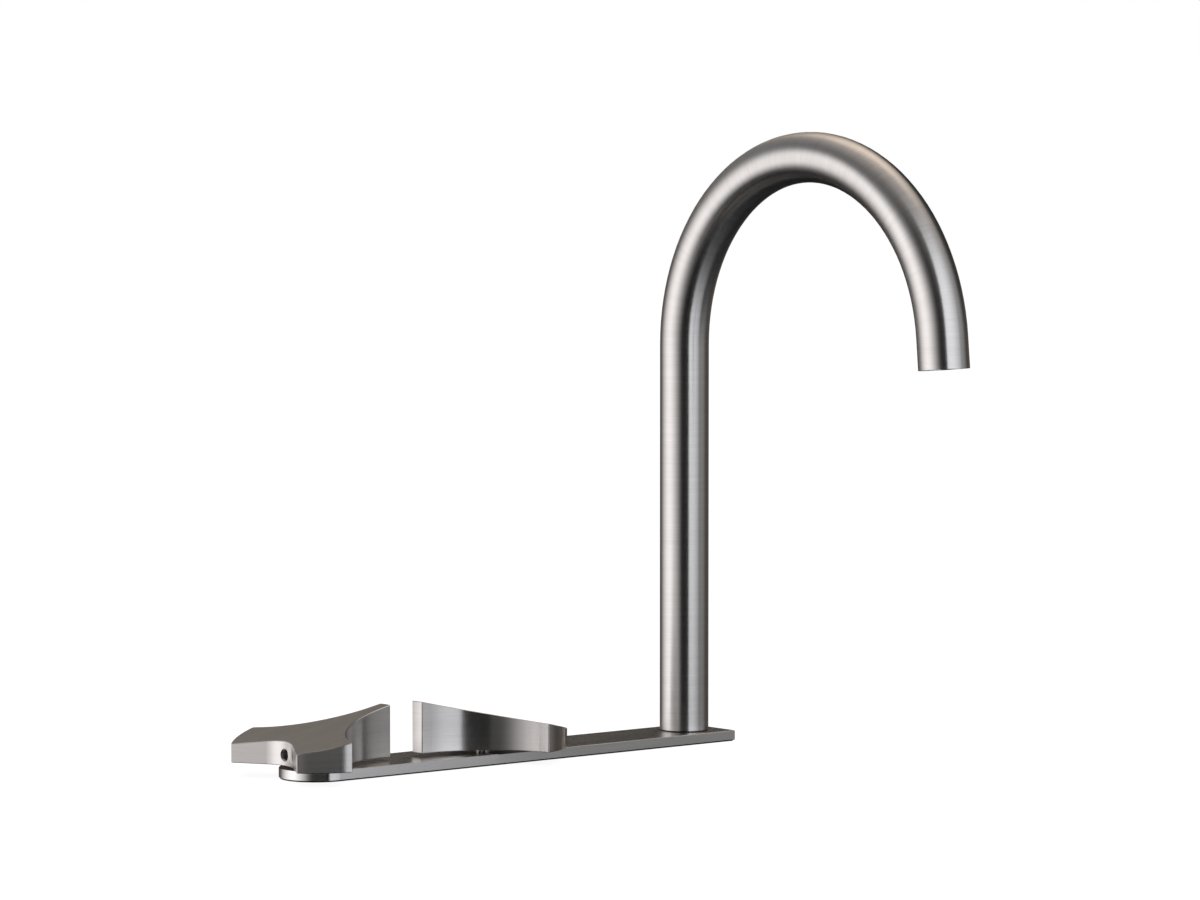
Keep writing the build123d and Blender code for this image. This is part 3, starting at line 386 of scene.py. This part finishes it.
def seen_rays(tree):
    """1 for rays that show the background itself, in metal or through glass too, and else 0."""
    rays = add_node(tree, "ShaderNodeLightPath")
    seen = rays.outputs["Is Camera Ray"]
    for kind in ("Is Glossy Ray", "Is Transmission Ray"):
        seen = add_node(tree, "ShaderNodeMath", {0: seen, 1: rays.outputs[kind]},
                        operation="MAXIMUM").outputs[0]
    return seen


def stand(name, mesh, material):
    """Puts a piece of the studio in the scene."""
    mesh.materials.append(material)
    piece = bpy.data.objects.new(name, mesh)
    bpy.context.scene.collection.objects.link(piece)
    return piece


floor_paint, tree = new_material("white_floor")
paper = add_node(tree, "ShaderNodeBsdfDiffuse", {"Color": linear(floor_colour)})
glow_strength = add_node(tree, "ShaderNodeMath", {0: seen_rays(tree), 1: floor_glow},
                         operation="MULTIPLY")
glow = add_node(tree, "ShaderNodeEmission", {"Strength": glow_strength.outputs[0]})
lit = add_node(tree, "ShaderNodeAddShader", {0: paper.outputs[0], 1: glow.outputs[0]})
face = add_node(tree, "ShaderNodeNewGeometry")
clear = add_node(tree, "ShaderNodeBsdfTransparent")
both = add_node(tree, "ShaderNodeMixShader",
                {0: face.outputs["Backfacing"], 1: lit.outputs[0], 2: clear.outputs[0]})
add_node(tree, "ShaderNodeOutputMaterial", {"Surface": both.outputs[0]})
floor_mesh = bpy.data.meshes.new("floor")
shape = bmesh.new()
bmesh.ops.create_circle(shape, cap_ends=True, radius=floor_radius, segments=96)
shape.to_mesh(floor_mesh)
shape.free()
floor = stand("floor", floor_mesh, floor_paint)
floor.location.z = -floor_drop
floor.visible_glossy = False

# Dark room: black cloth with pale walls and ceilings far off, a round shell about the tap that only
# shiny surfaces see. Angles are in degrees as seen from the tap, with azimuth 0 along +X.
room_radius = 9.0
room_glow = 0.012
# colour, strength and middle azimuth, then where the light begins and is full on either side of it,
# and the same from below and from above
room_lights = (
    # the cloth above the floor
    ("#FFFFFF", 0.02, 0, (-181, -180), (181, 180), (-30, 0), (91, 90)),
    # large soft box at the left, and the paler wall above it
    ("#FFFBFA", 1.90, 145, (-60, 10), (76, 10), (-42, -8), (40, 8)),
    ("#FFFDFB", 0.22, 135, (-90, -45), (75, 20), (2, 26), (75, 45)),
    # grey wall at the right
    ("#FFFFFF", 0.43, -36, (-60, -40), (30, -4), (-22, 2), (75, 40)),
    # ceiling behind the tap, and the warm lamp on it that lights the spout's crown
    ("#FFEAE0", 0.48, 50, (-110, -35), (110, 35), (46, 64), (130, 110)),
    ("#FFECD7", 1.25, 42, (-80, -10), (50, 14), (32, 50), (82, 64)),
    # low strip behind the tap, which the plate's top shows
    ("#FFEBDD", 0.10, 50, (-100, -60), (100, 60), (-20, -8), (13, 3)),
    # ceiling over the camera
    ("#FFF8F0", 0.28, -130, (-179, -120), (179, 120), (45, 75), (130, 110)),
)

room_light, tree = new_material("pale_walls_and_dark_cloth")
place = add_node(tree, "ShaderNodeTexCoord")
toward = add_node(tree, "ShaderNodeVectorMath", {0: place.outputs["Object"]}, operation="NORMALIZE")
glow = (room_glow, room_glow, room_glow)
for colour, strength, azimuth, start, end, below, above in room_lights:
    faced = add_node(tree, "ShaderNodeVectorRotate",
                     {"Vector": toward.outputs[0], "Angle": radians(-azimuth)},
                     rotation_type="Z_AXIS")
    parts = add_node(tree, "ShaderNodeSeparateXYZ", {"Vector": faced.outputs[0]})
    sideways = add_node(tree, "ShaderNodeMath", {0: parts.outputs["Y"], 1: parts.outputs["X"]},
                        operation="ARCTAN2")
    height = add_node(tree, "ShaderNodeMath", {0: parts.outputs["Z"]}, operation="ARCSINE")
    share = 1.0
    for measure, (none, full) in ((sideways, start), (sideways, end), (height, below),
                                  (height, above)):
        fade = add_node(tree, "ShaderNodeMapRange",
                        {"Value": measure.outputs[0], "From Min": radians(none),
                         "From Max": radians(full)}, interpolation_type="SMOOTHSTEP")
        share = add_node(tree, "ShaderNodeMath", {0: fade.outputs[0], 1: share},
                         operation="MULTIPLY").outputs[0]
    bright = [strength * part for part in linear(colour)[:3]]
    glow = add_node(tree, "ShaderNodeVectorMath", {0: bright, 1: share, 2: glow},
                    operation="MULTIPLY_ADD").outputs[0]
walls = add_node(tree, "ShaderNodeEmission", {"Color": glow})
add_node(tree, "ShaderNodeOutputMaterial", {"Surface": walls.outputs[0]})
room_mesh = bpy.data.meshes.new("studio_room")
shape = bmesh.new()
bmesh.ops.create_icosphere(shape, subdivisions=5, radius=room_radius)
shape.to_mesh(room_mesh)
shape.free()
room = stand("studio_room", room_mesh, room_light)

# Front soft box: white cloth on a frame, close in front of the tap. It is brighter towards its top
# and falls off to the right.
box_left = -0.22
box_right = 0.36
box_bottom = -0.16
box_top = 0.80
box_distance = 0.62
box_fall_start = -0.05
box_rise_end = 0.25
box_colour = "#FAFBFF"
box_rise = (1.12, 1.42)
box_fall = (1.0, 0.55)


def upright_sheet(name, left, right, bottom, top, material):
    """A flat sheet that stands on the line from left to right."""
    mesh = bpy.data.meshes.new(name)
    mesh.from_pydata([(*left, bottom), (*right, bottom), (*right, top), (*left, top)],
                     [], [(0, 1, 2, 3)])
    return stand(name, mesh, material)


box_light, tree = new_material("soft_box_cloth")
place = add_node(tree, "ShaderNodeTexCoord")
parts = add_node(tree, "ShaderNodeSeparateXYZ", {"Vector": place.outputs["Object"]})
rise = add_node(tree, "ShaderNodeMapRange",
                {"Value": parts.outputs["Z"], "From Min": box_bottom, "From Max": box_rise_end,
                 "To Min": box_rise[0], "To Max": box_rise[1]}, interpolation_type="SMOOTHSTEP")
fall = add_node(tree, "ShaderNodeMapRange",
                {"Value": parts.outputs["X"], "From Min": box_fall_start, "From Max": box_right,
                 "To Min": box_fall[0], "To Max": box_fall[1]}, interpolation_type="SMOOTHSTEP")
strength = add_node(tree, "ShaderNodeMath", {0: rise.outputs[0], 1: fall.outputs[0]},
                    operation="MULTIPLY")
cloth = add_node(tree, "ShaderNodeEmission",
                 {"Color": linear(box_colour), "Strength": strength.outputs[0]})
add_node(tree, "ShaderNodeOutputMaterial", {"Surface": cloth.outputs[0]})
front_box = upright_sheet("front_soft_box", (box_left, -box_distance), (box_right, -box_distance),
                          box_bottom, box_top, box_light)

# Grey card: a small thin sheet in front of the hot handle, which gives the end of that handle's
# front lobe and the side of the cold handle their grey. It adds this to what shines through it.
card_left = (-0.365, -0.088)
card_right = (-0.260, -0.158)
card_bottom = 0.010
card_top = 0.050
card_glow = 0.32
card_paper, tree = new_material("grey_card_paper")
paper = add_node(tree, "ShaderNodeEmission", {"Color": linear("#FFFFFF"), "Strength": card_glow})
through = add_node(tree, "ShaderNodeBsdfTransparent")
thin = add_node(tree, "ShaderNodeAddShader", {0: paper.outputs[0], 1: through.outputs[0]})
add_node(tree, "ShaderNodeOutputMaterial", {"Surface": thin.outputs[0]})
card = upright_sheet("grey_card", card_left, card_right, card_bottom, card_top, card_paper)

# Room, box and card are seen in reflections alone, and light nothing else.
for reflected in (room, front_box, card):
    reflected.active_material.cycles.emission_sampling = "NONE"
    for ray in ("camera", "diffuse", "transmission", "volume_scatter", "shadow"):
        setattr(reflected, f"visible_{ray}", False)

# Light on the tap: a wide soft lamp above on the left, and a plain grey light all round. The
# background is white where it is seen itself.
world_light = 0.6
world_white = 1.0
lamp = bpy.data.objects.new("key_lamp", bpy.data.lights.new("key_lamp", "AREA"))
lamp.data.shape = "DISK"
lamp.data.size = 2.4
lamp.data.energy = 40.0
lamp.location = (-1.2, -1.6, 2.6)
lamp.rotation_euler = (radians(37), 0.0, radians(-37))
lamp.visible_glossy = False
bpy.context.scene.collection.objects.link(lamp)

world = bpy.data.worlds.new("studio")
world.use_nodes = True
bpy.context.scene.world = world
tree = world.node_tree
tree.nodes.clear()
surround = add_node(tree, "ShaderNodeBackground",
                    {"Color": linear("#FFFFFF"), "Strength": world_light})
backdrop = add_node(tree, "ShaderNodeBackground",
                    {"Color": linear("#FFFFFF"), "Strength": world_white})
both = add_node(tree, "ShaderNodeMixShader",
                {0: seen_rays(tree), 1: surround.outputs[0], 2: backdrop.outputs[0]})
add_node(tree, "ShaderNodeOutputWorld", {"Surface": both.outputs[0]})

bpy.context.scene.view_settings.view_transform = "Standard"
